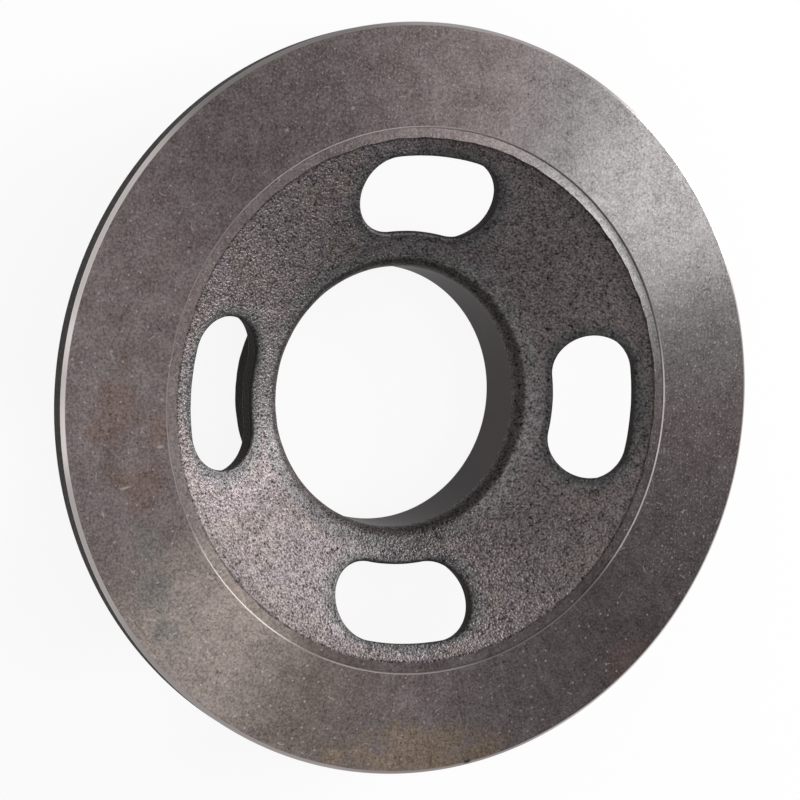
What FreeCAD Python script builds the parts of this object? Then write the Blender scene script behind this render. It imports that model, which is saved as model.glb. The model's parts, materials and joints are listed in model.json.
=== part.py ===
import FreeCAD, Part
import math
import os

# Brake disc: one grey-iron casting, machined on its friction faces, rim, bore and rear seat.
# Millimetres and degrees. The axis is +Z and the origin is the centre of the hub's rear face,
# so the disc lies on its hub with the outer friction face upwards.

# Friction ring
outer_radius = 140.0
friction_inner_radius = 102.0
ring_thickness = 10.5
rim_chamfer = 1.3

# Machined relief between each friction face and the cast web
relief_width = 4.0
relief_depth = 0.8
relief_bevel = 0.4

# Hub
dish_depth = 52.5
bore_radius = 50.0
bore_chamfer = 1.0
bore_lip_round = 6.0
boss_radius = 58.0
boss_edge_chamfer = 2.0
boss_blend = 8.0

# Conical web
web_front_angle = 27.6
web_back_angle = 31.0
web_thickness = 8.0

# Kidney slots, sized at the height where their middle meets the front of the web. A land of
# the web is left between each slot and the relief, and between each slot and the boss.
slot_count = 4
slot_outer_land = 5.0
slot_inner_land = 6.4
slot_end_angle = 10.0
slot_flare_angle = 10.6
slot_lean_angle = 6.0
slot_edge_break = 1.0
cutter_clearance = 12.0

# Radii and heights that follow from the sizes above
relief_inner_radius = friction_inner_radius - relief_width
slot_outer_radius = relief_inner_radius - slot_outer_land
slot_inner_radius = boss_radius + slot_inner_land
slot_centre_radius = (slot_outer_radius + slot_inner_radius) / 2
slot_half_width = (slot_outer_radius - slot_inner_radius) / 2
friction_face_z = dish_depth
ring_back_z = friction_face_z - ring_thickness
front_relief_z = friction_face_z - relief_depth
back_relief_z = ring_back_z + relief_depth
web_front_slope = math.tan(math.radians(web_front_angle))
web_back_slope = math.tan(math.radians(web_back_angle))
web_axial_thickness = web_thickness / math.cos(math.radians(web_front_angle))

ORIGIN = FreeCAD.Vector(0, 0, 0)
AXIS = FreeCAD.Vector(0, 0, 1)


def web_front_z(radius):
    """Height of the web's front cone, which falls inwards from the relief's inner edge."""
    return front_relief_z - web_front_slope * (relief_inner_radius - radius)


def web_back_z(radius):
    """Height of the web's back cone, a little steeper, so the web thickens towards the hub."""
    middle = web_front_z(slot_centre_radius) - web_axial_thickness
    return middle - web_back_slope * (slot_centre_radius - radius)


def web_back_radius(z):
    """Radius at which the web's back cone reaches the height z."""
    return slot_centre_radius + (z - web_back_z(slot_centre_radius)) / web_back_slope


def rounded_wire(corners):
    """Closed wire in the XZ plane through (x, z, radius) corners, each rounded by a tangent arc."""
    points = [FreeCAD.Vector(x, 0, z) for x, z, radius in corners]
    spans = []
    for i, (x, z, radius) in enumerate(corners):
        here = points[i]
        if radius == 0:
            spans.append((here, None, here))
            continue
        to_previous = (points[i - 1] - here).normalize()
        to_next = (points[(i + 1) % len(points)] - here).normalize()
        half_angle = to_previous.getAngle(to_next) / 2
        setback = radius / math.tan(half_angle)
        to_centre = (to_previous + to_next).normalize()
        middle = here + to_centre * (radius / math.sin(half_angle) - radius)
        spans.append((here + to_previous * setback, middle, here + to_next * setback))
    edges = []
    for i, (start, middle, end) in enumerate(spans):
        if middle:
            edges.append(Part.Arc(start, middle, end).toShape())
        next_start = spans[(i + 1) % len(spans)][0]
        edges.append(Part.LineSegment(end, next_start).toShape())
    return Part.Wire(edges)


def turned_body():
    """The disc without its slots, turned in one go from its half section."""
    corners = [
        # Bore, with its rear chamfer and its round cast lip
        (bore_radius + bore_chamfer, 0, 0),
        (bore_radius, bore_chamfer, 0),
        (bore_radius, web_front_z(bore_radius), bore_lip_round),
        # Front: cone, relief and friction face
        (relief_inner_radius, front_relief_z, 0),
        (friction_inner_radius - relief_bevel, front_relief_z, 0),
        (friction_inner_radius - relief_bevel, friction_face_z - relief_bevel, 0),
        (friction_inner_radius, friction_face_z, 0),
        # Rim
        (outer_radius - rim_chamfer, friction_face_z, 0),
        (outer_radius, friction_face_z - rim_chamfer, 0),
        (outer_radius, ring_back_z + rim_chamfer, 0),
        (outer_radius - rim_chamfer, ring_back_z, 0),
        # Back: friction face, relief, cone and boss
        (friction_inner_radius, ring_back_z, 0),
        (friction_inner_radius, back_relief_z, 0),
        (web_back_radius(back_relief_z), back_relief_z, 0),
        (boss_radius, web_back_z(boss_radius), boss_blend),
        (boss_radius, boss_edge_chamfer, 0),
        (boss_radius - boss_edge_chamfer, 0, 0),
    ]
    section = Part.Face(rounded_wire(corners))
    body = section.revolve(ORIGIN, AXIS, 360)
    # The seam of the turned faces lies midway between two slots
    body.rotate(ORIGIN, AXIS, 180 / slot_count)
    return body


def polar(radius, angle, z):
    return FreeCAD.Vector(radius * math.cos(angle), radius * math.sin(angle), z)


def arc(start, middle, end):
    return Part.Arc(start, middle, end).toShape()


def kidney_wire(z):
    """Outline at the height z of the slot on +X: two arcs about the disc's axis and two round ends."""
    depth = web_front_z(slot_centre_radius) - z
    centre_radius = slot_centre_radius + depth * math.tan(math.radians(slot_lean_angle))
    half_width = slot_half_width + depth * math.tan(math.radians(slot_flare_angle))
    outer = centre_radius + half_width
    inner = centre_radius - half_width
    end = math.radians(slot_end_angle)
    quarter_turn = math.pi / 2
    left_tip = polar(centre_radius, end, z) + polar(half_width, end + quarter_turn, 0)
    right_tip = polar(centre_radius, -end, z) + polar(half_width, -end - quarter_turn, 0)
    return Part.Wire([
        arc(polar(outer, -end, z), polar(outer, 0, z), polar(outer, end, z)),
        arc(polar(outer, end, z), left_tip, polar(inner, end, z)),
        arc(polar(inner, end, z), polar(inner, 0, z), polar(inner, -end, z)),
        arc(polar(inner, -end, z), right_tip, polar(outer, -end, z)),
    ])


def slot_cutter():
    """Tapered block that opens the slot on +X, clear of the web at both ends."""
    top_z = web_front_z(slot_outer_radius) + cutter_clearance
    bottom_z = web_back_z(slot_inner_radius) - cutter_clearance
    return Part.makeLoft([kidney_wire(top_z), kidney_wire(bottom_z)], True, True)


def slot_rims(body):
    """Edges between a slot's ruled wall and a turned face, at the front and back of the web."""
    rims = []
    for edge in body.Edges:
        faces = body.ancestorsOfType(edge, Part.Face)
        ruled = [isinstance(face.Surface, Part.BSplineSurface) for face in faces]
        if any(ruled) and not all(ruled):
            rims.append(edge)
    return rims


def brake_disc():
    body = turned_body()
    for i in range(slot_count):
        cutter = slot_cutter()
        cutter.rotate(ORIGIN, AXIS, 360 * i / slot_count)
        body = body.cut(cutter)
    return body.makeChamfer(slot_edge_break, slot_rims(body))


os.makedirs("parts", exist_ok=True)
disc = brake_disc()
disc.exportStep("parts/brake_disc.step")
print("solids", len(disc.Solids), "faces", len(disc.Faces), "valid", disc.isValid())
print("volume", round(disc.Volume / 1000, 1), "cm3, height", round(disc.optimalBoundingBox().ZLength, 3))
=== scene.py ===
# %% [markdown]
# # A cast and machined brake disc
#
# The real object is one iron casting. Its wide ring, bore and rear seat are turned on a lathe, and the
# dished web between them keeps the rough skin that the sand mould gave it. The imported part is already
# exact, so this lesson only builds what the eye adds: softly rounded rims, a wavy cast skin, and four
# finishes. We start by loading that part, because its main sizes are taken from it.

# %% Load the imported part
import json
import math

import bpy
import numpy as np
from mathutils import Matrix, Vector


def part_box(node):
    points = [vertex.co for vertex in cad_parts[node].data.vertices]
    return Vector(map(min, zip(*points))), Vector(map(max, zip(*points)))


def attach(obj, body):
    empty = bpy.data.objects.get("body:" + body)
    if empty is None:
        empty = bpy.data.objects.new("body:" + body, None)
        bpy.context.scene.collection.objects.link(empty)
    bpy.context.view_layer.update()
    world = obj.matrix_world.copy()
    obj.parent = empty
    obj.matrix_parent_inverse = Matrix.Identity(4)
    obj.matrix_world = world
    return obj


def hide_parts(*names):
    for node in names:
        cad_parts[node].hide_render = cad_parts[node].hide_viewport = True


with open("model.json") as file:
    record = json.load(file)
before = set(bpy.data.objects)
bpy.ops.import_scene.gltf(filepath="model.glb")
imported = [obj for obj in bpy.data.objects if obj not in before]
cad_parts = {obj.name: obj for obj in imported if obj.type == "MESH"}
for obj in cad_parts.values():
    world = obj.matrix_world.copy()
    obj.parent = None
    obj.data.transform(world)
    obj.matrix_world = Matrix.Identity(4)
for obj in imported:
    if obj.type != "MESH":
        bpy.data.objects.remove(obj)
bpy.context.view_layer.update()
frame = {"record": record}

MM = 0.001

# %% [markdown]
# ## Sizes
#
# A lathe part is described by radii and heights along its axis, which is Z here. The outer radius, the
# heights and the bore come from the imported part, so they can't drift from it. The others name the same
# features as the part's own drawing. The origin is the middle of the hub's rear face, on the floor.

# %% Take the main sizes from the part
high_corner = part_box("brake_disc")[1]
mounts = {mount["name"]: mount for mount in frame["record"]["mounts"]}
outer_radius = high_corner.x
friction_face_z = mounts["outer_friction_face"]["pos_m"][2]
ring_back_z = mounts["inner_friction_face"]["pos_m"][2]
bore_radius = mounts["bore"]["dims"]["r_mm"] * MM
print("outer radius", outer_radius, "ring", friction_face_z - ring_back_z, "bore", bore_radius)

# %% Name the other sizes
rim_chamfer = 1.3 * MM
friction_inner_radius = 102 * MM
relief_inner_radius = 98 * MM
relief_depth = 0.8 * MM
relief_bevel = 0.4 * MM
bore_chamfer = 1 * MM
bore_lip_round = 6 * MM
boss_radius = 58 * MM
boss_edge_chamfer = 2 * MM
boss_blend = 8 * MM
ring_blend = 3 * MM
web_front_angle = math.radians(27.6)
web_back_angle = math.radians(31)
web_thickness = 8 * MM
slot_count = 4
slot_outer_radius = 93 * MM
slot_inner_radius = 64.4 * MM
slot_end_angle = math.radians(10)
slot_flare = math.tan(math.radians(10.6))
slot_lean = math.tan(math.radians(6))
front_rim_round = 1.3 * MM
rear_rim_round = 1 * MM
tool_round = 0.15 * MM

# %% Work out what follows from them
web_front_slope = math.tan(web_front_angle)
web_back_slope = math.tan(web_back_angle)
slot_centre_radius = (slot_outer_radius + slot_inner_radius) / 2
slot_half_width = (slot_outer_radius - slot_inner_radius) / 2
front_relief_z = friction_face_z - relief_depth
back_relief_z = ring_back_z + relief_depth
lip_setback = bore_lip_round / math.tan((math.pi / 2 + web_front_angle) / 2)
lip_low_z = front_relief_z - web_front_slope * (relief_inner_radius - bore_radius) - lip_setback
lip_outer_radius = bore_radius + lip_setback * math.cos(web_front_angle) + 1 * MM
print("the cast lip ends at", round(lip_low_z / MM, 2), "mm")

# %% [markdown]
# ## The turned sections
#
# Everything that the lathe cut is a line turned about the axis. We write each line as a few corners, and
# let one function round each corner by the radius beside it. Even a sharp machined edge has a tiny
# round, and without it no edge would catch the light. A Spin or a Screw modifier could turn the line,
# but the rings of points have to meet the web exactly, so we lay them out ourselves.


# %% Heights of the web's two cones
def web_front_z(radius):
    return front_relief_z - web_front_slope * (relief_inner_radius - radius)


def web_back_z(radius):
    middle = web_front_z(slot_centre_radius) - web_thickness / math.cos(web_front_angle)
    return middle - web_back_slope * (slot_centre_radius - radius)


def web_back_radius(z):
    return slot_centre_radius + (z - web_back_z(slot_centre_radius)) / web_back_slope


# %% Round the corners of a line
TURNED, CAST, BORED, PAINTED_SHADE, RIM = 0, 1, 2, 3, 4
ARC_STEP = math.radians(14)
HOLD = 0.15 * MM


def arc_point(centre, first, last, sweep, share):
    """Point at a share of an arc, from the arms that reach from its centre to its two ends."""
    return centre + (first * np.sin(sweep * (1 - share)) + last * np.sin(sweep * share)) / np.sin(sweep)


def rounded_line(corners):
    """Points of a line with tangent arcs, and the finish of each stretch between them.

    A corner is (radius, z, round, finish). Its finish holds from the corner's arc to the next corner.
    A point is held close to each end of an arc, so that the flat beside it stays flat when it is shaded.
    """
    points = [np.array(corner[:2]) for corner in corners]
    line = [points[0]]
    finishes = [corners[0][3]]
    for i in range(1, len(corners) - 1):
        here = points[i]
        rounding, finish = corners[i][2:]
        if rounding == 0:
            line.append(here)
            finishes.append(finish)
            continue
        back = (points[i - 1] - here) / np.linalg.norm(points[i - 1] - here)
        ahead = (points[i + 1] - here) / np.linalg.norm(points[i + 1] - here)
        half_angle = math.acos(np.dot(back, ahead)) / 2
        centre = here + (back + ahead) / np.linalg.norm(back + ahead) * rounding / math.sin(half_angle)
        setback = rounding / math.tan(half_angle)
        first = here + back * setback - centre
        last = here + ahead * setback - centre
        sweep = math.pi - 2 * half_angle
        steps = max(2, math.ceil(sweep / ARC_STEP))
        line.append(here + back * (setback + HOLD))
        finishes.append(finishes[-1])
        line += [arc_point(centre, first, last, sweep, k / steps) for k in range(steps + 1)]
        line.append(here + ahead * (setback + HOLD))
        finishes += [finish] * (steps + 2)
    line.append(points[-1])
    return np.array(line), finishes


# %% The line round the ring, from the back of the web over the rim to the front of the web
blend_setback = ring_blend / math.tan((math.pi - web_back_angle) / 2)
blend_radius = web_back_radius(back_relief_z) - blend_setback * math.cos(web_back_angle) - 0.2 * MM
edge_round = 2 * tool_round
ring_line, ring_finishes = rounded_line([
    (blend_radius, web_back_z(blend_radius), 0, CAST),
    (web_back_radius(back_relief_z), back_relief_z, ring_blend, CAST),
    (relief_inner_radius, back_relief_z, 0, TURNED),
    (friction_inner_radius, back_relief_z, tool_round, TURNED),
    (friction_inner_radius, ring_back_z, tool_round, TURNED),
    (outer_radius - rim_chamfer, ring_back_z, edge_round, TURNED),
    (outer_radius, ring_back_z + rim_chamfer, edge_round, RIM),
    (outer_radius, friction_face_z - rim_chamfer, edge_round, TURNED),
    (outer_radius - rim_chamfer, friction_face_z, edge_round, TURNED),
    (friction_inner_radius, friction_face_z, tool_round, TURNED),
    (friction_inner_radius - relief_bevel, friction_face_z - relief_bevel, tool_round, TURNED),
    (friction_inner_radius - relief_bevel, front_relief_z, tool_round, TURNED),
    (relief_inner_radius, front_relief_z, 0, TURNED),
])
print("the ring's line has", len(ring_line), "points")

# %% The line through the hub, from the front of the web down the bore and up the boss
blend_angle = math.pi / 2 - web_back_angle
blend_low_z = web_back_z(boss_radius) - boss_blend * math.tan(blend_angle / 2)
hub_line, hub_finishes = rounded_line([
    (lip_outer_radius, web_front_z(lip_outer_radius), 0, CAST),
    (bore_radius, web_front_z(bore_radius), bore_lip_round, CAST),
    (bore_radius, lip_low_z - 0.1 * MM, 0, BORED),
    (bore_radius, bore_chamfer, tool_round, BORED),
    (bore_radius + bore_chamfer, 0, tool_round, TURNED),
    # The boss's chamfer and side take the finish that paints their shade.
    (boss_radius - boss_edge_chamfer, 0, tool_round, PAINTED_SHADE),
    (boss_radius, boss_edge_chamfer, 1 * MM, PAINTED_SHADE),
    (boss_radius, blend_low_z, 0, PAINTED_SHADE),
])
print("the hub's line has", len(hub_line), "points")

# %% [markdown]
# ## One slot and the web round it
#
# Each quarter of the web is a patch with a kidney-shaped hole. We lay a closed grid round the hole: one
# direction runs round the slot, and the other runs from the patch's edge over the front of the web, down
# the slot's wall and back out over the rear. Cutting holes with a boolean would be shorter, but it
# leaves long thin faces that shade badly, and this grid can carry a wavy skin.


# %% The back of the web as a height, with its blend into the boss
def back_height(radius):
    reach = np.clip(boss_radius + boss_blend - radius, 0, boss_blend)
    arc = blend_low_z + np.sqrt(boss_blend**2 - reach**2)
    tangent_radius = boss_radius + boss_blend * (1 - math.cos(blend_angle))
    return np.where(radius < tangent_radius, arc, web_back_z(radius))


# %% Distance along the back, which spaces points well where the blend is steep
blend_radii = boss_radius + boss_blend * (1 - np.cos(np.linspace(0, blend_angle, 40)))
back_radii = np.append(blend_radii, blend_radius)
back_heights = back_height(back_radii)
back_steps = np.hypot(np.diff(back_radii), np.diff(back_heights))
back_lengths = np.insert(np.cumsum(back_steps), 0, 0)
print("the back of the web is", round(back_lengths[-1] / MM, 1), "mm along its slope")


# %% Stations round the slot: azimuth of the slot's middle line, and direction towards the wall
def stations(knots, steps):
    azimuth, direction = np.array(knots).T
    length = np.abs(np.diff(azimuth)) * slot_centre_radius + np.abs(np.diff(direction)) * slot_half_width
    along = np.insert(np.cumsum(length), 0, 0)
    t = np.linspace(0, along[-1], steps + 1)[:-1]
    return np.interp(t, along, azimuth), np.interp(t, along, direction)


SIDE_STEPS = 72
END_STEPS = 24
end = slot_end_angle
outer_turn = math.radians(75)
inner_turn = math.radians(135)
half_turn = math.pi
sides = [
    stations([(-end, -end - outer_turn), (-end, -end), (end, end), (end, end + outer_turn)], SIDE_STEPS),
    stations([(end, end + outer_turn), (end, end + inner_turn)], END_STEPS),
    stations([(end, end + inner_turn), (end, end + half_turn), (-end, half_turn - end),
              (-end, 2 * half_turn - end - inner_turn)], SIDE_STEPS),
    stations([(-end, 2 * half_turn - end - inner_turn), (-end, 2 * half_turn - end - outer_turn)], END_STEPS),
]
wall_azimuth = np.concatenate([side[0] for side in sides])
wall_direction = np.concatenate([side[1] for side in sides])
print("stations round one slot:", len(wall_azimuth))


# %% The slot's wall at any height
def wall_points(z):
    depth = web_front_z(slot_centre_radius) - z
    centre_radius = slot_centre_radius + depth * slot_lean
    half_width = slot_half_width + depth * slot_flare
    x = centre_radius * np.cos(wall_azimuth) + half_width * np.cos(wall_direction)
    y = centre_radius * np.sin(wall_azimuth) + half_width * np.sin(wall_direction)
    return np.column_stack([x, y, z])


# %% Where the wall meets a surface, found by halving
HALVINGS = 40
SEARCH_FROM, SEARCH_TO = 5 * MM, 60 * MM


def meet(surface):
    low = np.full(len(wall_azimuth), SEARCH_FROM)
    high = np.full(len(wall_azimuth), SEARCH_TO)
    for _ in range(HALVINGS):
        z = (low + high) / 2
        points = wall_points(z)
        below = z < surface(np.hypot(points[:, 0], points[:, 1]))
        low = np.where(below, z, low)
        high = np.where(below, high, z)
    return wall_points((low + high) / 2)


front_corner = meet(web_front_z)
back_corner = meet(back_height)
print("slot wall height, mm:", ((front_corner - back_corner)[:, 2].min() / MM).round(1), "to",
      ((front_corner - back_corner)[:, 2].max() / MM).round(1))


# %% Round the slot's rims with a tangent arc at every station
def unit(vectors):
    return vectors / np.linalg.norm(vectors, axis=1, keepdims=True)


RIM_STEPS = 8


def rim_arc(corner, surface, wall_end, rim_round):
    """Rows of points from the surface, round the rim, to the wall."""
    outward = np.column_stack([np.cos(wall_direction), np.sin(wall_direction), np.zeros(len(corner))])
    ahead = corner + outward * 0.01 * MM
    ahead[:, 2] = surface(np.hypot(ahead[:, 0], ahead[:, 1]))
    along_surface = unit(ahead - corner)
    along_wall = unit(wall_end - corner)
    half_angle = np.arccos(np.sum(along_surface * along_wall, axis=1)) / 2
    middle = unit(along_surface + along_wall)
    centre = corner + middle * (rim_round / np.sin(half_angle))[:, None]
    setback = (rim_round / np.tan(half_angle))[:, None]
    first = corner + along_surface * setback - centre
    last = corner + along_wall * setback - centre
    sweep = (math.pi - 2 * half_angle)[:, None]
    return [arc_point(centre, first, last, sweep, k / RIM_STEPS) for k in range(RIM_STEPS + 1)]


WALL_SPANS = 5
front_rim = rim_arc(front_corner, web_front_z, back_corner, front_rim_round)
back_rim = rim_arc(back_corner, back_height, front_corner, rear_rim_round)
wall_rows = [front_rim[-1] + (back_rim[-1] - front_rim[-1]) * k / WALL_SPANS for k in range(1, WALL_SPANS)]

# %% Spread the rows from the rim out to the quarter's edge, a little closer together near the rim
WEB_ROWS = 20
CROWDING = 1.25
quarter = math.pi / slot_count


def round_edge(corners):
    """Values round the quarter's edge, which run evenly from each of its four corners to the next."""
    steps = (SIDE_STEPS, END_STEPS, SIDE_STEPS, END_STEPS)
    return np.concatenate([
        np.linspace(corners[i], corners[(i + 1) % 4], steps[i], endpoint=False) for i in range(4)])


edge_azimuth = round_edge((-quarter, quarter, quarter, -quarter))


def web_rows(rim, outer, inner, to_distance, to_point):
    """Rows from the quarter's edge to the rim, spaced along the surface."""
    rim_radius = np.hypot(rim[:, 0], rim[:, 1])
    rim_azimuth = np.arctan2(rim[:, 1], rim[:, 0])
    start = round_edge((outer, outer, inner, inner))
    stop = to_distance(rim_radius)
    rows = []
    for k in range(WEB_ROWS):
        t = 1 - (1 - k / WEB_ROWS) ** CROWDING
        distance = start + (stop - start) * t
        azimuth = edge_azimuth + (rim_azimuth - edge_azimuth) * t
        radius, height = to_point(distance)
        rows.append(np.column_stack([radius * np.cos(azimuth), radius * np.sin(azimuth), height]))
    return rows


front_rows = web_rows(
    front_rim[0], relief_inner_radius, lip_outer_radius,
    lambda radius: radius, lambda distance: (distance, web_front_z(distance)))
back_rows = web_rows(
    back_rim[0], back_lengths[-1], 0,
    lambda radius: np.interp(radius, back_radii, back_lengths),
    lambda distance: (np.interp(distance, back_lengths, back_radii),
                      back_height(np.interp(distance, back_lengths, back_radii))))
patch = np.array(front_rows + front_rim + wall_rows + back_rim[::-1] + back_rows[::-1])
print("the patch has", patch.shape[0], "rows of", patch.shape[1], "points")

# %% [markdown]
# ## One quarter of the disc
#
# The patch and the two turned sections become one mesh for a quarter of the disc. Beside its shape, the
# mesh carries a few attributes. They say where the skin is cast, where the edge of the casting wanders,
# and how far a point is from a rim, so the geometry tree and the materials can follow the surface.

# %% Turn a line through one quarter
ring_azimuth = np.linspace(-quarter, quarter, SIDE_STEPS + 1)


def turned_rows(line):
    radius, height = line.T
    x = radius[:, None] * np.cos(ring_azimuth)
    y = radius[:, None] * np.sin(ring_azimuth)
    return np.stack([x, y, np.broadcast_to(height[:, None], x.shape)], axis=2)


# %% Collect grids of points into one list of vertices and faces
vertices = []
faces = []
face_finish = []
attributes = {"skin": [], "edge": [], "rim_distance": [], "wall": []}


def add_grid(rows, finishes, values, closed):
    """Adds rows of points. Each attribute has one value in all, one for a row, or one for each point."""
    first = sum(len(part) for part in vertices)
    count, across = rows.shape[:2]
    vertices.append(rows.reshape(-1, 3))
    for name, store in attributes.items():
        store.append(np.broadcast_to(values[name], (count, across)).reshape(-1))
    for i in range(count - 1):
        for j in range(across if closed else across - 1):
            k = (j + 1) % across
            faces.append([first + i * across + j, first + i * across + k,
                          first + (i + 1) * across + k, first + (i + 1) * across + j])
            face_finish.append(finishes[i])


# %% How much cast skin a point of a turned line has
FAR = 1.0
skin_fade = 3 * MM


def skin_along(line, finishes):
    """One on cast iron, fading to nothing where it meets a machined stretch."""
    along = np.insert(np.cumsum(np.linalg.norm(np.diff(line, axis=0), axis=1)), 0, 0)
    machined = np.array([finish in (TURNED, BORED, RIM) for finish in finishes])
    touched = np.append(machined, machined[-1]) | np.insert(machined, 0, machined[0])
    fade = np.clip(np.abs(along[:, None] - along[touched]).min(axis=1) / skin_fade, 0, 1)
    return (fade * fade * (3 - 2 * fade))[:, None]


# %% Work out the attributes of the patch round the slot
edge_reach = 2.5 * MM
wall_reach = 0.7 * MM
wall_fade = 0.8 * MM
rim_start, rim_stop = WEB_ROWS, len(patch) - WEB_ROWS - 1
row_number = np.arange(len(patch))[:, None]
on_front = row_number <= rim_start
on_back = row_number >= rim_stop
from_front_rim = np.linalg.norm(patch - patch[rim_start], axis=2)
from_back_rim = np.linalg.norm(patch - patch[rim_stop], axis=2)
patch_rim = np.where(on_front, from_front_rim, np.where(on_back, from_back_rim, 0))
patch_wall = np.clip((np.minimum(from_front_rim, from_back_rim) - wall_reach) / wall_fade, 0, 1)
patch_wall = np.where(on_front | on_back, 0, patch_wall)
inside_edge = relief_inner_radius - np.hypot(patch[:, :, 0], patch[:, :, 1])
patch_edge = np.where(on_front, np.exp(-inside_edge / edge_reach), 0)
patch_skin = np.where(on_front, np.clip(inside_edge / skin_fade, 0, 1), 1)
patch_skin = patch_skin * np.clip(0.3 + patch_rim / skin_fade, 0, 1)

# %% Add the patch, the ring and the hub
wall_start, wall_stop = rim_start + RIM_STEPS, rim_stop - RIM_STEPS
# The slot's walls take the finish that paints their shade near black.
patch_finishes = [PAINTED_SHADE if wall_start <= row < wall_stop else CAST for row in range(len(patch) - 1)]
add_grid(patch, patch_finishes,
         {"skin": patch_skin, "edge": patch_edge, "rim_distance": patch_rim, "wall": patch_wall}, True)
for line, line_finishes, last_edge in ((ring_line, ring_finishes, 1), (hub_line, hub_finishes, 0)):
    line_edge = np.zeros((len(line), 1))
    line_edge[-1] = last_edge
    line_values = {"skin": skin_along(line, line_finishes), "edge": line_edge, "rim_distance": FAR, "wall": 0}
    add_grid(turned_rows(line), line_finishes, line_values, False)
print("a quarter has", sum(len(part) for part in vertices), "points and", len(faces), "faces")

# %% Make the quarter's mesh
quarter_mesh = bpy.data.meshes.new("quarter")
quarter_mesh.from_pydata(np.concatenate(vertices).tolist(), [], faces)
for name, values in attributes.items():
    attribute = quarter_mesh.attributes.new(name, "FLOAT", "POINT")
    attribute.data.foreach_set("value", np.concatenate(values).astype(np.float32))
finish_attribute = quarter_mesh.attributes.new("finish", "INT", "FACE")
finish_attribute.data.foreach_set("value", np.array(face_finish, np.int32))

# %% [markdown]
# ## Helpers for node trees
#
# Geometry trees and shader trees are wired in the same way, so a few short helpers serve both. One adds a
# node and fills its inputs, and the others do a sum or draw a noise. An input is filled with a number, or
# with a link when the value comes from another node.


# %% Add a node, a calculation, or a noise
def put(tree, kind, inputs=None, **settings):
    node = tree.nodes.new(kind)
    for name, value in settings.items():
        setattr(node, name, value)
    for name, value in (inputs or {}).items():
        if isinstance(value, bpy.types.NodeSocket):
            tree.links.new(value, node.inputs[name])
        else:
            node.inputs[name].default_value = value
    return node


def calc(tree, operation, *values, clamp=False):
    inputs = dict(enumerate(values))
    return put(tree, "ShaderNodeMath", inputs, operation=operation, use_clamp=clamp).outputs[0]


def times(tree, first, second, clamp=False):
    return calc(tree, "MULTIPLY", first, second, clamp=clamp)


def vector_calc(tree, operation, *values):
    names = [0, "Scale"] if operation == "SCALE" else [0, 1]
    node = put(tree, "ShaderNodeVectorMath", dict(zip(names, values)), operation=operation)
    return node.outputs["Value" if operation in ("LENGTH", "DOT_PRODUCT") else "Vector"]


def noise_at(tree, place, scale=1.0, detail=2.0, roughness=0.5):
    return put(tree, "ShaderNodeTexNoise", {
        "Vector": place, "Scale": scale, "Detail": detail, "Roughness": roughness}).outputs[0]


# %% Start a node group with named inputs and outputs
def new_group(name, kind, inputs, outputs):
    """Socket names are listed by type. Gives the tree and the sockets of its input and output nodes."""
    tree = bpy.data.node_groups.new(name, kind)
    for in_out, sockets in (("INPUT", inputs), ("OUTPUT", outputs)):
        for type_name, socket_names in sockets.items():
            for socket_name in socket_names:
                tree.interface.new_socket(socket_name, in_out=in_out, socket_type="NodeSocket" + type_name)
    return tree, tree.nodes.new("NodeGroupInput").outputs, tree.nodes.new("NodeGroupOutput").inputs


# %% Add an object to the scene
def add_object(name, data):
    added = bpy.data.objects.new(name, data)
    bpy.context.scene.collection.objects.link(added)
    return added


# %% [markdown]
# ## The whole disc from one quarter
#
# The slots repeat four times round the axis, as they did in the pattern that shaped the mould. Array or
# Mirror modifiers could copy the quarter. A Geometry Nodes tree does more here: it turns and welds the
# copies, and then gives the cast skin lumps that differ all the way round, because sand never repeats.
# It also lets the cast edge beside the machined relief wander a little, as it does where a tool cuts
# into a rough surface. The four finishes are only named for now, and get their nodes further down.

# %% Name the finishes
# The fourth finish paints shade: near black in the slots and on the boss, dark grey on the rim.
turned_iron, cast_skin, bored_iron, mould_crust = (
    bpy.data.materials.new(name) for name in ("turned_iron", "cast_skin", "bored_iron", "mould_crust"))
quarter_mesh.materials.append(cast_skin)

# %% Build the tree
casting, given, result = new_group("brake_disc_casting", "GeometryNodeTree", {
    "Geometry": ["Quarter"],
    "Int": ["Copies"],
    "Float": ["Weld distance", "Skin depth", "Skin lump size", "Edge wander", "Edge wander size"],
    "Material": ["Turned finish", "Cast finish", "Bored finish", "Crusted finish"],
}, {"Geometry": ["Disc"]})
casting.is_modifier = True


def named(name, kind="FLOAT"):
    return put(casting, "GeometryNodeInputNamedAttribute", {"Name": name}, data_type=kind).outputs[0]


def lumps(size, detail, seed):
    """Noise from about -1 to 1, whose lumps are about the given size."""
    moved = vector_calc(casting, "ADD", put(casting, "GeometryNodeInputPosition").outputs[0], seed)
    lumpy_noise = noise_at(casting, moved, calc(casting, "DIVIDE", 1.0, size), detail)
    return calc(casting, "MULTIPLY_ADD", lumpy_noise, 4.0, -2.0)


def push(weight, depth, size, detail, seed):
    """How far the lumps move a point, by the weight that it has."""
    return times(casting, named(weight), times(casting, given[depth], lumps(given[size], detail, seed)))


# %% Turn the copies and weld them
points = put(casting, "GeometryNodePoints", {"Count": given["Copies"]})
turn = times(casting, put(casting, "GeometryNodeInputIndex").outputs[0],
             calc(casting, "DIVIDE", 2 * math.pi, given["Copies"]))
copies = put(casting, "GeometryNodeInstanceOnPoints", {
    "Points": points.outputs[0],
    "Instance": given["Quarter"],
    "Rotation": put(casting, "ShaderNodeCombineXYZ", {"Z": turn}).outputs[0],
})
welded = put(casting, "GeometryNodeMergeByDistance", {
    "Geometry": put(casting, "GeometryNodeRealizeInstances", {"Geometry": copies.outputs[0]}).outputs[0],
    "Distance": given["Weld distance"],
})

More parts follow.
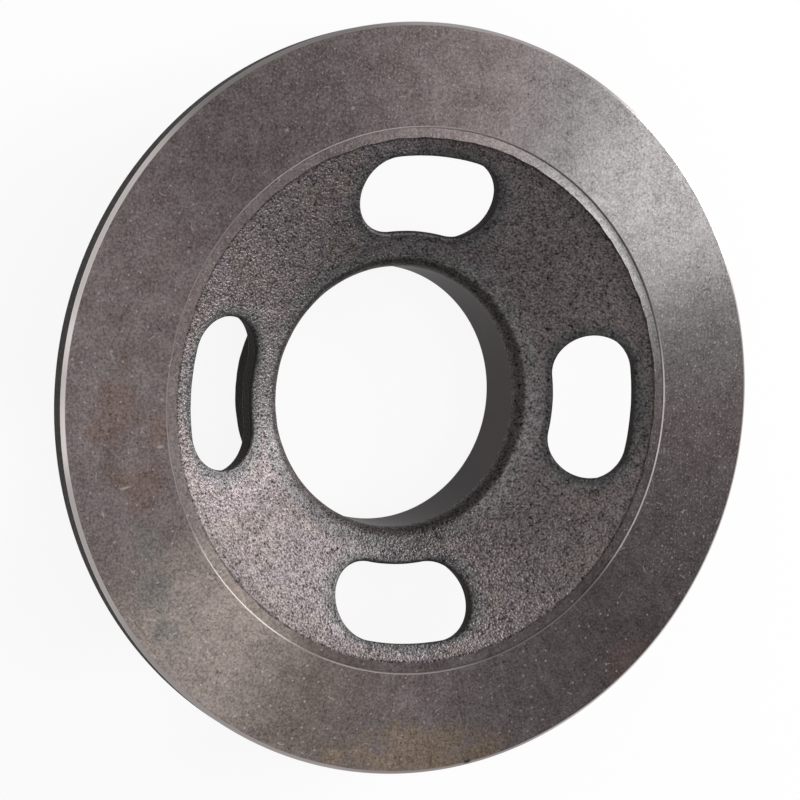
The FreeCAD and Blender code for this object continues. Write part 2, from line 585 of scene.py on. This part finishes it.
# %% Give the cast skin its lumps, and let its edge wander
skin_push = push("skin", "Skin depth", "Skin lump size", 2.0, (3, 5, 7))
lumpy = put(casting, "GeometryNodeSetPosition", {
    "Geometry": welded.outputs[0],
    "Offset": vector_calc(casting, "SCALE", put(casting, "GeometryNodeInputNormal").outputs[0], skin_push),
})
place = put(casting, "GeometryNodeInputPosition").outputs[0]
flat_place = vector_calc(casting, "MULTIPLY", place, (1, 1, 0))
edge_push = push("edge", "Edge wander", "Edge wander size", 3.0, (11, 2, 4))
wandering = put(casting, "GeometryNodeSetPosition", {
    "Geometry": lumpy.outputs[0],
    "Offset": vector_calc(casting, "SCALE", vector_calc(casting, "NORMALIZE", flat_place), edge_push),
})

# %% Give every face the cast finish, and then the others their own
finished = put(casting, "GeometryNodeSetMaterial", {
    "Geometry": wandering.outputs[0], "Material": given["Cast finish"]})
# The rim takes the same dark finish, which paints its dark reflection.
for region, word in ((TURNED, "Turned"), (BORED, "Bored"), (PAINTED_SHADE, "Crusted"), (RIM, "Crusted")):
    finished = put(casting, "GeometryNodeSetMaterial", {
        "Geometry": finished.outputs[0],
        "Selection": calc(casting, "COMPARE", named("finish", "INT"), float(region), 0.5),
        "Material": given[word + " finish"],
    })
casting.links.new(finished.outputs[0], result["Disc"])

# %% Set the tree's inputs and keep its result as a plain mesh
tree_values = {
    "Copies": slot_count,
    "Weld distance": 0.01 * MM,
    "Skin depth": 0.16 * MM,
    "Skin lump size": 9 * MM,
    "Edge wander": 0.4 * MM,
    "Edge wander size": 6 * MM,
    "Turned finish": turned_iron,
    "Cast finish": cast_skin,
    "Bored finish": bored_iron,
    "Crusted finish": mould_crust,
}
disc = add_object("machined_casting", quarter_mesh)
modifier = disc.modifiers.new("casting", "NODES")
for socket in casting.interface.items_tree:
    if socket.in_out == "INPUT" and socket.name in tree_values:
        tree_values[socket.identifier] = tree_values.pop(socket.name)
modifier.node_group = casting
for identifier, value in tree_values.items():
    modifier[identifier] = value
whole = bpy.data.meshes.new_from_object(disc.evaluated_get(bpy.context.evaluated_depsgraph_get()))
disc.modifiers.remove(modifier)
disc.data = whole

# %% Shade the mesh smooth and look it over
SHARP_ANGLE = math.radians(22)
whole.name = "machined_casting"
whole.shade_smooth()
whole.set_sharp_from_angle(angle=SHARP_ANGLE)
edge_uses = {}
for polygon in whole.polygons:
    for edge_key in polygon.edge_keys:
        edge_uses[edge_key] = edge_uses.get(edge_key, 0) + 1
open_edges = sum(uses != 2 for uses in edge_uses.values())
triangles = sum(len(polygon.vertices) - 2 for polygon in whole.polygons)
print("the casting has", triangles, "triangles and", open_edges, "open edges")
print("its materials:", [material.name for material in whole.materials])

# %% [markdown]
# ## Places on a turned part
#
# Nearly everything that a lathe, a brake pad or a hand leaves on a disc follows its radius or its
# azimuth. A group that turns the object's coordinates into those two lets every finish share them. The
# coordinates are the object's own, so a mark stays where it is when the part is seen from another side.

# %% Radius, height, and a direction that has no seam
FACE_SHIFT = 7
round_place, given, result = new_group("round_place", "ShaderNodeTree", {}, {
    "Float": ["Radius", "Height"], "Vector": ["Direction", "Place", "On face"]})
place = put(round_place, "ShaderNodeTexCoord").outputs["Object"]
flat = vector_calc(round_place, "MULTIPLY", place, (1, 1, 0))
height = put(round_place, "ShaderNodeSeparateXYZ", {0: place}).outputs["Z"]
shift = times(round_place, height, FACE_SHIFT)
face_shift = put(round_place, "ShaderNodeCombineXYZ", {"X": shift, "Y": shift}).outputs[0]
round_place.links.new(vector_calc(round_place, "LENGTH", flat), result["Radius"])
round_place.links.new(height, result["Height"])
round_place.links.new(vector_calc(round_place, "NORMALIZE", flat), result["Direction"])
round_place.links.new(place, result["Place"])
round_place.links.new(vector_calc(round_place, "ADD", flat, face_shift), result["On face"])


def use_group(tree, group, inputs=None):
    return put(tree, "ShaderNodeGroup", inputs, node_tree=group).outputs


# %% Soft steps, a mix, and a value that is made stronger or weaker round its middle
def ramp(tree, value, low, high):
    """A soft step from nothing at the low value to one at the high value."""
    return put(tree, "ShaderNodeMapRange", {"Value": value, "From Min": low, "From Max": high},
               interpolation_type="SMOOTHSTEP").outputs[0]


def step_near(tree, value, place, low, high):
    """The same step, between two distances in millimetres from a place."""
    return ramp(tree, value, place + low * MM, place + high * MM)


def mix_colour(tree, factor, first, second):
    """The first colour may come from another node, and the second is a plain one."""
    if isinstance(first, tuple):
        first = (*first, 1)
    return put(tree, "ShaderNodeMix", {0: factor, 6: first, 7: (*second, 1)}, data_type="RGBA").outputs[2]


def around(tree, value, middle, gain, level=1.0):
    """Makes a value swing more or less about its middle, and lays the swing on a level."""
    return calc(tree, "MULTIPLY_ADD", calc(tree, "SUBTRACT", value, middle), gain, level)


# %% [markdown]
# ## Marks that the finishes share
#
# Small groups make the marks: a noise that can be drawn out along or across the turning grooves, the
# sandy grain of a casting, specks, short scratches, and a ragged patch at a chosen place. Each one puts
# out a mask or a height, and the material decides what it does with it. Specks and scratches lie on a
# flat face, so their cells are drawn in two dimensions and shifted by the height. Otherwise the front
# and the rear face would carry the same marks.

# %% Noise that follows the turning grooves
turned_noise, given, result = new_group(
    "turned_noise", "ShaderNodeTree", {"Float": ["Across", "Breaks round"]}, {"Float": ["Noise"]})
here = use_group(turned_noise, round_place)
across = calc(turned_noise, "DIVIDE", here["Radius"], given["Across"])
round_way = vector_calc(turned_noise, "SCALE", here["Direction"], given["Breaks round"])
way_parts = put(turned_noise, "ShaderNodeSeparateXYZ", {0: round_way}).outputs
drawn_place = put(turned_noise, "ShaderNodeCombineXYZ", {
    "X": across, "Y": way_parts["X"], "Z": way_parts["Y"]}).outputs[0]
drawn_out = noise_at(turned_noise, drawn_place, detail=3.0, roughness=0.6)
turned_noise.links.new(drawn_out, result["Noise"])

# %% Sandy grain
GRAIN_MIDDLE = 0.63
sand_grain, given, result = new_group(
    "sand_grain", "ShaderNodeTree", {"Float": ["Grain size"]}, {"Float": ["Height", "Fine"]})
here = use_group(sand_grain, round_place)
finer = vector_calc(sand_grain, "SCALE", here["Place"], calc(sand_grain, "DIVIDE", 1.0, given["Grain size"]))
clumps = noise_at(sand_grain, finer, 0.3, 1.0)
soft = noise_at(sand_grain, finer, 1.0, 3.0, 0.55)
grains = put(sand_grain, "ShaderNodeTexVoronoi", {"Vector": finer, "Scale": 0.9, "Smoothness": 0.6},
             feature="SMOOTH_F1")
height = calc(sand_grain, "MULTIPLY_ADD", soft, 1.3, times(sand_grain, clumps, 0.5))
height = calc(sand_grain, "MULTIPLY_ADD", grains.outputs["Distance"], -0.6, height)
sand_grain.links.new(height, result["Height"])
sand_grain.links.new(noise_at(sand_grain, finer, 2.6), result["Fine"])


# %% Cells on a flat face, each with its own chances
def face_cells(tree, spacing):
    """Gives the place in units of the spacing, the cells, and three chances for each cell."""
    per_spacing = calc(tree, "DIVIDE", 1.0, spacing)
    scaled = vector_calc(tree, "SCALE", use_group(tree, round_place)["On face"], per_spacing)
    cells = put(tree, "ShaderNodeTexVoronoi", {"Vector": scaled, "Scale": 1.0},
                voronoi_dimensions="2D").outputs
    return scaled, cells, put(tree, "ShaderNodeSeparateColor", {0: cells["Color"]}).outputs


# %% Specks
specks, given, result = new_group(
    "specks", "ShaderNodeTree", {"Float": ["Spacing", "Half size", "Share"]}, {"Float": ["Mask"]})
scaled, cells, chance = face_cells(specks, given["Spacing"])
own_size = times(specks, calc(specks, "DIVIDE", given["Half size"], given["Spacing"]),
                 calc(specks, "MULTIPLY_ADD", chance[1], 0.7, 0.6))
inside = ramp(specks, cells["Distance"], own_size, times(specks, own_size, 0.4))
chosen = calc(specks, "LESS_THAN", chance[0], given["Share"])
specks.links.new(times(specks, inside, chosen), result["Mask"])

# %% Short scratches, each with its own direction and a slight bend
scratches, given, result = new_group(
    "scratches", "ShaderNodeTree",
    {"Float": ["Spacing", "Half length", "Half width", "Share"]}, {"Float": ["Mask"]})
scaled, cells, chance = face_cells(scratches, given["Spacing"])
from_cell = vector_calc(scratches, "SUBTRACT", scaled, cells["Position"])
from_cell = vector_calc(scratches, "SCALE", from_cell, given["Spacing"])
own_way = put(scratches, "ShaderNodeVectorRotate", {
    "Vector": from_cell, "Angle": times(scratches, chance[1], math.pi)}, rotation_type="Z_AXIS").outputs[0]
way_parts = put(scratches, "ShaderNodeSeparateXYZ", {0: own_way}).outputs
along = calc(scratches, "ABSOLUTE", calc(scratches, "DIVIDE", way_parts["X"], given["Half length"]))
bend = times(scratches, times(scratches, along, along),
             times(scratches, chance[2], times(scratches, given["Half length"], 0.4)))
aside = calc(scratches, "ABSOLUTE", calc(scratches, "SUBTRACT", way_parts["Y"], bend))
aside = calc(scratches, "DIVIDE", aside, given["Half width"])
line = times(scratches, ramp(scratches, along, 1.0, 0.5), ramp(scratches, aside, 1.0, 0.3))
chosen = calc(scratches, "LESS_THAN", chance[0], given["Share"])
scratches.links.new(times(scratches, line, chosen), result["Mask"])

# %% A ragged patch at a place
patch_mask, given, result = new_group(
    "patch_mask", "ShaderNodeTree",
    {"Float": ["Azimuth", "Radius", "Half round", "Half across", "Wander"]}, {"Float": ["Mask"]})
here = use_group(patch_mask, round_place)
turned_place = put(patch_mask, "ShaderNodeVectorRotate", {
    "Vector": here["Place"], "Angle": times(patch_mask, given["Azimuth"], -1.0)},
    rotation_type="Z_AXIS").outputs[0]
turned_parts = put(patch_mask, "ShaderNodeSeparateXYZ", {0: turned_place}).outputs
across = calc(patch_mask, "DIVIDE", calc(patch_mask, "SUBTRACT", turned_parts["X"], given["Radius"]),
              given["Half across"])
along = calc(patch_mask, "DIVIDE", turned_parts["Y"], given["Half round"])
away = vector_calc(patch_mask, "LENGTH",
                   put(patch_mask, "ShaderNodeCombineXYZ", {"X": across, "Y": along}).outputs[0])
away = calc(patch_mask, "ADD", away, given["Wander"])
patch_mask.links.new(ramp(patch_mask, away, 1.3, 0.3), result["Mask"])


# %% Start and finish a material
def begin(material, constants=None):
    """Empties a material's tree. Gives the tree, its shader with the constants, and places on the part."""
    material.use_nodes = True
    tree = material.node_tree
    tree.nodes.clear()
    shader = put(tree, "ShaderNodeBsdfPrincipled", constants)
    put(tree, "ShaderNodeOutputMaterial", {"Surface": shader.outputs[0]})
    return tree, shader, use_group(tree, round_place)


def connect(tree, shader, values, height, bump_distance):
    """Links values that change over the surface to the shader, and a height to its normal."""
    bump = put(tree, "ShaderNodeBump", {"Height": height, "Strength": 1.0, "Distance": bump_distance})
    for name, value in {**values, "Normal": bump.outputs[0]}.items():
        tree.links.new(value, shader.inputs[name])


# %% Helpers for where a tint lies and how strong it is
def noise(tree, size, detail=3.0, roughness=0.55):
    """Noise on the object's own coordinates, around 0.5, with lumps of about the given size."""
    return noise_at(tree, use_group(tree, round_place)["Place"], 1 / size, detail, roughness)


def sector(tree, azimuth, full_within, none_beyond):
    """One near an azimuth, fading to nothing, all in degrees."""
    middle = math.radians(azimuth)
    cosine = vector_calc(tree, "DOT_PRODUCT", use_group(tree, round_place)["Direction"],
                         (math.cos(middle), math.sin(middle), 0))
    return ramp(tree, cosine, math.cos(math.radians(none_beyond)), math.cos(math.radians(full_within)))


def ragged(tree, wander, azimuth, radius, half_round, half_across):
    """A ragged patch at an azimuth in degrees and a radius in millimetres."""
    return use_group(tree, patch_mask, {
        "Azimuth": math.radians(azimuth), "Radius": radius * MM, "Half round": half_round * MM,
        "Half across": half_across * MM, "Wander": wander})["Mask"]


def speckle(tree, spacing, half_size, share):
    """Specks in a share of the cells, with the cells' spacing and their own half size in millimetres."""
    return use_group(tree, specks, {
        "Spacing": spacing * MM, "Half size": half_size * MM, "Share": share})["Mask"]


def scratched(tree, spacing, half_length, half_width, share):
    """Scratches in a share of the cells, with all lengths in millimetres."""
    return use_group(tree, scratches, {
        "Spacing": spacing * MM, "Half length": half_length * MM, "Half width": half_width * MM,
        "Share": share})["Mask"]


def tint(tree, colour, mask, strength, wanted):
    """Moves a colour towards the wanted one where the mask is."""
    return mix_colour(tree, times(tree, mask, strength, clamp=True), colour, wanted)


def shade(tree, colour, mask, factor):
    """Multiplies a colour by a factor where the mask is."""
    grey = calc(tree, "MULTIPLY_ADD", mask, factor - 1.0, 1.0)
    return vector_calc(tree, "SCALE", colour, grey)


def shade_stretches(tree, colour, mask, stretches):
    """Shades where the mask is, over stretches of (azimuth, full within, none beyond, factor)."""
    for *stretch, factor in stretches:
        colour = shade(tree, colour, times(tree, mask, sector(tree, *stretch)), factor)
    return colour


# %% [markdown]
# ## Turned iron
#
# The friction faces, the chamfers and the rear seat were cut on a lathe, and most have gone dull. The fine
# grooves run round the axis, so they spread light across themselves into two bright spokes. Bump alone
# can't hold grooves this fine, so the shader's anisotropy makes the spokes, and the bump only adds what
# is coarse.

# %% Start the turned finish with its grooves
tree, shader, here = begin(turned_iron, {"Anisotropic": 0.936, "Anisotropic Rotation": 0.25})
tree.links.new(put(tree, "ShaderNodeTangent", direction_type="RADIAL", axis="Z").outputs[0],
               shader.inputs["Tangent"])
grain_noise = noise(tree, 0.9 * MM, detail=2.0, roughness=0.7)
clouds = noise(tree, 9 * MM, detail=4.0)
groove_noise = use_group(tree, turned_noise, {"Across": 0.6 * MM, "Breaks round": 6.0})["Noise"]

# %% [markdown]
# The dull iron is a warm grey that varies a little from place to place. Where the bright spoke falls it is
# painted a nearly neutral grey, the colour of the spoke's sheen, and elsewhere oil and moisture have left
# yellow, tan, reddish and violet tints. Each tint is a mask and a colour. A wide tint follows the azimuth,
# and a small one is a patch. Painted highlight dims one spoke and brightens the other, and two stretches are
# darker.

# %% Colour the iron
iron = mix_colour(tree, ramp(tree, clouds, 0.3, 0.7), (0.158, 0.131, 0.128), (0.164, 0.139, 0.138))
# Painted sheen: a nearly neutral grey where the upper bright spoke falls.
iron = tint(tree, iron, sector(tree, 40, 16, 42), 0.85, (0.150, 0.146, 0.145))
iron = tint(tree, iron, sector(tree, 235, 10, 35), 0.7, (0.168, 0.141, 0.124))
iron = tint(tree, iron, sector(tree, 315, 18, 42), 0.6, (0.154, 0.130, 0.138))
# Painted highlight: the upper spoke is dimmed and the lower one brightened, and two stretches are darker.
iron = shade_stretches(tree, iron, 1.0, (
    (30, 10, 26, 0.88), (230, 6, 20, 1.12), (250, 6, 18, 0.82), (340, 20, 42, 0.8)))
wander = calc(tree, "MULTIPLY_ADD", clouds, 3.0, -1.5)
iron = tint(tree, iron, ragged(tree, wander, 272, 133, 36, 12), 0.9, (0.232, 0.178, 0.135))
rust_colour = (0.170, 0.118, 0.102)
for place in ((182, 120, 12, 8), (187, 106, 8, 5), (196, 116, 11, 9), (186, 129, 8, 5), (313, 134, 10, 7)):
    iron = tint(tree, iron, ragged(tree, wander, *place), 0.65, rust_colour)
for place in ((207, 120, 9, 6), (215, 124, 10, 7), (220, 128, 8, 6)):
    iron = tint(tree, iron, ragged(tree, wander, *place), 0.6, (0.140, 0.138, 0.131))

# %% [markdown]
# The finest marks come next. The ground surface has a light and dark grain of half a millimetre, on a
# slight mottling a centimetre wide. Small streaks run across the grooves at the bottom, where a wet cloth
# was drawn outwards. Dust and raised burrs are bright specks: they scatter light from all sides, so they
# are less metallic than the iron. The specks are thickest towards the upper right, and there, like the
# few larger nicks, their bright colour also paints glints.

# %% Add mottling, grain, streaks, pits, dust and scratches
on_flat = step_near(tree, here["Radius"], outer_radius, -1.5, -1.7)
grain_strength = around(tree, grain_noise, 0.5, 2.1)
grain_strength = around(tree, clouds, 0.5, 0.7, grain_strength)
grain_strength = around(tree, groove_noise, 0.5, 0.3, grain_strength)
iron = vector_calc(tree, "SCALE", iron, grain_strength)
streak_noise = use_group(tree, turned_noise, {"Across": 16 * MM, "Breaks round": 75.0})["Noise"]
streaks = times(tree, sector(tree, 295, 20, 45), ramp(tree, streak_noise, 0.5, 0.68))
iron = shade(tree, iron, times(tree, streaks, on_flat), 0.8)
dark_marks = calc(tree, "MAXIMUM", speckle(tree, 5, 0.4, 0.25), scratched(tree, 22, 1.6, 0.25, 0.35))
marks = times(tree, dark_marks, on_flat)
iron = shade(tree, iron, marks, 0.35)
# Specks are thickest towards the upper right, where their bright colour also paints glints.
dust_and_glint_share = calc(tree, "ADD", sector(tree, 50, 65, 95), times(tree, ramp(tree, clouds, 0.4, 0.65), 0.5),
             clamp=True)
fine_dust = times(tree, speckle(tree, 1.5, 0.33, 0.5), dust_and_glint_share)
coarse_dust = calc(tree, "MAXIMUM", speckle(tree, 4.5, 0.45, 0.45), scratched(tree, 15, 1.8, 0.22, 0.4))
dust_and_glints = calc(tree, "MAXIMUM", times(tree, fine_dust, 0.55), times(tree, coarse_dust, 0.7))

# %% Add the few larger nicks, whose glints are painted bright, and finish the specks
for glinting_nick in ((196.3, 120.1, 0.5, 2.4), (190.4, 105.1, 0.7, 1.4), (199.4, 130.1, 1.4, 0.4),
             (181.3, 103.7, 0.6, 0.8), (123.4, 114.4, 0.9, 0.7), (109.8, 112.2, 0.9, 0.7)):
    dust_and_glints = calc(tree, "MAXIMUM", dust_and_glints, times(tree, ragged(tree, 0.0, *glinting_nick), 0.8))
dust_and_glints = times(tree, dust_and_glints, on_flat)
iron = tint(tree, iron, dust_and_glints, 1.0, (0.36, 0.33, 0.32))

# %% [markdown]
# The chamfers were cut last and stay bright, and their bright colour also paints part of their sheen. They
# are picked out by the radius alone, because nothing else of this finish lies that far out. Stretches of
# them are painted darker and lighter, as painted shade and highlight.

# %% Brighten the chamfers
on_chamfer = step_near(tree, here["Radius"], outer_radius, -1.5, -1.3)
iron = tint(tree, iron, on_chamfer, 0.95, (0.51, 0.47, 0.46))
# Painted shade and highlight on stretches of the chamfer.
iron = shade_stretches(tree, iron, on_chamfer, (
    (38, 22, 42, 0.68), (120, 12, 26, 0.65), (155, 11, 24, 1.7), (200, 9, 22, 1.35), (277, 8, 20, 0.75),
    (317, 12, 28, 1.25)))
# A dark spot paints the shade of a small dent low on the chamfer.
iron = shade(tree, iron, ragged(tree, 0.0, 280.8, 138.6, 1.6, 0.9), 0.2)

# %% [markdown]
# The relief between the friction face and the web is painted a little paler than the face on two
# stretches and darker on a third. The small bevel above it is a bright line of painted highlight, dimmed and
# brightened stretch by stretch. It is the only place inside the friction face that stands so high, so
# its radius and its height pick it out.

# %% Shade the relief and brighten the bevel above it
on_relief = step_near(tree, here["Radius"], friction_inner_radius, -0.4, -0.6)
# Painted light on two stretches of the relief and painted shade on one.
iron = shade_stretches(tree, iron, on_relief, ((45, 20, 40, 1.25), (150, 60, 90, 1.25), (262, 10, 25, 0.75)))
on_bevel = times(tree, step_near(tree, here["Radius"], friction_inner_radius, 0.1, 0),
                 step_near(tree, here["Height"], friction_face_z, -0.5, -0.38))
# A bright colour on the bevel paints an edge highlight, dimmed and brightened stretch by stretch below.
iron = tint(tree, iron, on_bevel, 0.9, (0.55, 0.51, 0.50))
iron = shade_stretches(tree, iron, on_bevel, (
    (55, 20, 45, 0.5), (105, 20, 40, 1.5), (225, 15, 32, 0.2), (305, 12, 26, 0.6), (338, 8, 20, 1.4)))

# %% Connect the turned finish
metallic = calc(tree, "MULTIPLY_ADD", dust_and_glints, -0.9, 1.0)
rough = calc(tree, "MULTIPLY_ADD", groove_noise, 0.06, 0.307)
rough = calc(tree, "MULTIPLY_ADD", dust_and_glints, 0.3, rough)
height = calc(tree, "MULTIPLY_ADD", grain_noise, 0.6, times(tree, groove_noise, 0.4))
height = calc(tree, "MULTIPLY_ADD", marks, -1.0, height)
connect(tree, shader, {"Base Color": iron, "Metallic": metallic, "Roughness": rough}, height, 0.006 * MM)

# %% [markdown]
# ## Cast skin
#
# Sand leaves a fine pebbled skin with a thin dark scale. The pebbles are under a millimetre across, far
# too many to model, so they are bump, while the wider lumps are already in the mesh. Scale has stayed
# between the pebbles and is worn from their tops, so the colour follows the same grain. Under it the skin
# drifts between brown and violet. Beside the slots and the bore it is a cooler grey, and it darkens
# towards the very edge. Stretches of the web and its lip carry painted light and shade.

# %% Colour the skin
tree, shader, here = begin(cast_skin)
clouds = noise(tree, 10 * MM, detail=3.0)
drift = noise(tree, 17 * MM, detail=2.0)
skin = mix_colour(tree, ramp(tree, drift, 0.35, 0.65), (0.147, 0.125, 0.120), (0.145, 0.123, 0.128))
slot_reach = put(tree, "ShaderNodeAttribute", attribute_name="rim_distance").outputs["Fac"]
beside_slot = ramp(tree, slot_reach, 7 * MM, 2 * MM)
beside_bore = step_near(tree, here["Radius"], bore_radius, 12, 6)
beside_hole = calc(tree, "MAXIMUM", beside_slot, beside_bore)
skin = tint(tree, skin, beside_hole, 0.8, (0.121, 0.117, 0.118))

# %% Paint light and shade on stretches of the web and its lip, and darken its edges
near_relief = step_near(tree, here["Radius"], relief_inner_radius, -7, -3)
# Painted light and shade on the lit lower left of the web.
skin = shade_stretches(tree, skin, 1.0, ((228, 12, 25, 0.92), (202, 6, 14, 1.2)))
# Painted shade on the outer web below the relief's edge, at the upper right and lower left.
skin = shade_stretches(tree, skin, near_relief, ((40, 45, 62, 0.78), (240, 25, 45, 0.86)))
# Painted light on the lip at the right and lower right, and painted shade at the bottom.
skin = shade_stretches(tree, skin, beside_bore, (
    (5, 55, 80, 1.3), (340, 20, 45, 1.2), (262, 35, 55, 0.75)))
on_lip = step_near(tree, here["Radius"], bore_radius, 4.2, 2.6)
skin = tint(tree, skin, on_lip, 0.85, (0.046, 0.038, 0.037))
skin = shade(tree, skin, ramp(tree, slot_reach, 3.2 * MM, 0.8 * MM), 0.65)

# %% Let the grain, bright specks and a few dark pits mark it
grain = use_group(tree, sand_grain, {"Grain size": 0.85 * MM})
grain_shade = around(tree, grain["Height"], GRAIN_MIDDLE, 2.2, 1.05)
grain_shade = around(tree, clouds, 0.5, 0.35, grain_shade)
skin = vector_calc(tree, "SCALE", skin, grain_shade)
skin = shade(tree, skin, speckle(tree, 1.8, 0.3, 0.3), 1.5)
skin = shade(tree, skin, speckle(tree, 9, 0.6, 0.3), 0.4)

# %% Paint the shade into the slots, and a line of painted shade beside the relief
wall = put(tree, "ShaderNodeAttribute", attribute_name="wall").outputs["Fac"]
# Near-black colour paints the shade where the rims turn down into the slots.
skin = tint(tree, skin, wall, 0.97, (0.012, 0.009, 0.008))
# A dark line along the web's edge at the relief paints shade.
relief_edge_shade = times(tree, step_near(tree, here["Radius"], relief_inner_radius, -1.1, -0.4),
                  step_near(tree, here["Height"], front_relief_z, -2, -1))
skin = shade(tree, skin, relief_edge_shade, 0.45)

# %% Connect the cast finish
metallic = calc(tree, "MULTIPLY_ADD", wall, -0.5, 0.9)
rough = calc(tree, "MULTIPLY_ADD", grain["Fine"], 0.2, 0.4)
rough = calc(tree, "MULTIPLY_ADD", wall, 0.25, rough)
connect(tree, shader, {"Base Color": skin, "Metallic": metallic, "Roughness": rough},
        grain["Height"], 0.3 * MM)

# %% [markdown]
# ## Painted shade
#
# The slots' walls and the side of the boss are as cast, and a nearly black colour on them paints the shade
# that falls inside the slots and under the web. The rim's cylinder is turned, and a dark grey on it paints
# the dark reflection that it shows. The finish isn't metallic and its specular level is low, so it hardly
# mirrors anything, even seen at a slant.

# %% Fill in the painted shade
tree, shader, here = begin(mould_crust, {"Metallic": 0.0, "Specular IOR Level": 0.12})
grain = use_group(tree, sand_grain, {"Grain size": 1.0 * MM})
clouds = noise(tree, 7 * MM)
shade_colour = mix_colour(tree, ramp(tree, clouds, 0.3, 0.7), (0.009, 0.006, 0.005), (0.016, 0.011, 0.009))
on_rim = step_near(tree, here["Radius"], outer_radius, -5, -3)
shade_colour = tint(tree, shade_colour, on_rim, 1.0, (0.052, 0.048, 0.044))
shade_colour = vector_calc(tree, "SCALE", shade_colour, around(tree, grain["Height"], GRAIN_MIDDLE, 1.2))
rough = calc(tree, "MULTIPLY_ADD", grain["Fine"], 0.25, 0.65)
connect(tree, shader, {"Base Color": shade_colour, "Roughness": rough}, grain["Height"], 0.3 * MM)

# %% [markdown]
# ## Bored iron
#
# The bore was cut to size. Its dark colour is painted shade inside the bore, and the finish isn't metallic,
# so it mirrors little. Faint rings from the cutting tool show in it.

# %% Fill in the bored finish
tree, shader, here = begin(bored_iron, {"Metallic": 0.0, "Specular IOR Level": 0.12})
clouds = noise(tree, 6 * MM)
bore_rings = noise_at(tree, vector_calc(tree, "MULTIPLY", here["Place"], (60, 60, 2500)))
bore = mix_colour(tree, clouds, (0.058, 0.048, 0.050), (0.068, 0.057, 0.058))
bore = vector_calc(tree, "SCALE", bore, calc(tree, "MULTIPLY_ADD", bore_rings, 0.3, 0.85))
# Painted shade on one stretch of the bore and painted light on another.
bore = shade_stretches(tree, bore, 1.0, ((302, 12, 30, 0.72), (15, 30, 50, 1.15)))
rough = calc(tree, "MULTIPLY_ADD", bore_rings, 0.1, 0.45)
connect(tree, shader, {"Base Color": bore, "Roughness": rough}, bore_rings, 0.008 * MM)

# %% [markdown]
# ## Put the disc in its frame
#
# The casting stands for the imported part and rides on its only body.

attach(disc, "root")
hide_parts("brake_disc")

# %% [markdown]
# ## Camera
#
# The disc lies on the floor and the camera looks down on it from the left. Its place, its aim, the way up
# and the lens were worked out from the disc's round edges, whose real sizes are known.

# %% Place the camera
camera_place = Vector((-340.03, 47.86, 763.92)) * MM
camera_aim = Vector((-11.86, 0.68, 52.5)) * MM
picture_up_azimuth = math.radians(94.07)
lens_mm = 95.73
camera_data = bpy.data.cameras.new("camera")
camera_data.lens = lens_mm
camera_data.sensor_width = 36
camera_back = (camera_place - camera_aim).normalized()
picture_up = Vector((math.cos(picture_up_azimuth), math.sin(picture_up_azimuth), 0))
camera_right = picture_up.cross(camera_back).normalized()
camera_up = camera_back.cross(camera_right)
camera = add_object("camera", camera_data)
camera.matrix_world = Matrix.Translation(camera_place) @ Matrix(
    (camera_right, camera_up, camera_back)).transposed().to_4x4()
bpy.context.scene.camera = camera
print("camera right", [round(v, 4) for v in camera_right], "up", [round(v, 4) for v in camera_up])

# %% [markdown]
# ## Light
#
# Soft square panels and an even surround light the disc. The strongest panel is low on the right, where
# its reflection falls across the turning grooves and makes the bright spoke. Two weak ones hang nearly
# overhead, and a card low on the left lights the chamfer there. The surround is a plain grey.


# %% Hang a soft panel round the disc
PANEL_DISTANCE = 1.8


def panel(name, azimuth, elevation, side, watts):
    light = bpy.data.lights.new(name, "AREA")
    light.size = side
    light.energy = watts
    lamp = add_object(name, light)
    level = math.cos(math.radians(elevation))
    aim = Vector((level * math.cos(math.radians(azimuth)), level * math.sin(math.radians(azimuth)),
                  math.sin(math.radians(elevation))))
    turn = aim.to_track_quat("Z", "Y").to_matrix().to_4x4()
    lamp.matrix_world = Matrix.Translation(aim * PANEL_DISTANCE) @ turn
    print(name, "stands at", [round(v, 2) for v in lamp.matrix_world.translation])


panel("low_key", 23.3, 18.7, 0.62, 39.4)
panel("overhead", 176.0, 83.1, 0.97, 3.7)
panel("high_right", 12.6, 57.9, 0.46, 3.8)
panel("left_card", 185.0, 24.0, 0.90, 2.9)

# %% Light it evenly from all round
world = bpy.data.worlds.new("surround")
world.use_nodes = True
bpy.context.scene.world = world
surround = world.node_tree
surround.nodes.clear()
put(surround, "ShaderNodeOutputWorld", {
    "Surface": put(surround, "ShaderNodeBackground", {"Color": (1, 1, 1, 1), "Strength": 0.425}).outputs[0]})

# %% [markdown]
# ## Floor
#
# The floor is a plain pale sheet. Where it is seen or mirrored it is nearly white, and a part of it stays
# an ordinary matt surface, so the disc still leaves a soft shadow.

# %% Lay the floor
floor_half = 6.0
floor_mesh = bpy.data.meshes.new("floor")
floor_mesh.from_pydata([(-floor_half, -floor_half, 0), (floor_half, -floor_half, 0),
                        (floor_half, floor_half, 0), (-floor_half, floor_half, 0)], [], [(0, 1, 2, 3)])
floor = add_object("floor", floor_mesh)
floor_material = bpy.data.materials.new("pale_floor")
floor_material.use_nodes = True
sheet = floor_material.node_tree
sheet.nodes.clear()
rays = put(sheet, "ShaderNodeLightPath").outputs
seen = calc(sheet, "MAXIMUM", rays["Is Camera Ray"],
            calc(sheet, "MAXIMUM", rays["Is Glossy Ray"], rays["Is Transmission Ray"]))
matt = put(sheet, "ShaderNodeBsdfDiffuse", {"Color": (0.85, 0.85, 0.85, 1)})
white = put(sheet, "ShaderNodeEmission", {"Color": (1, 1, 1, 1), "Strength": 1.0})
mixed = put(sheet, "ShaderNodeMixShader", {
    0: times(sheet, seen, 0.9), 1: matt.outputs[0], 2: white.outputs[0]})
put(sheet, "ShaderNodeOutputMaterial", {"Surface": mixed.outputs[0]})
floor_mesh.materials.append(floor_material)

# %% Keep the colours as they are written
bpy.context.scene.view_settings.view_transform = "Standard"
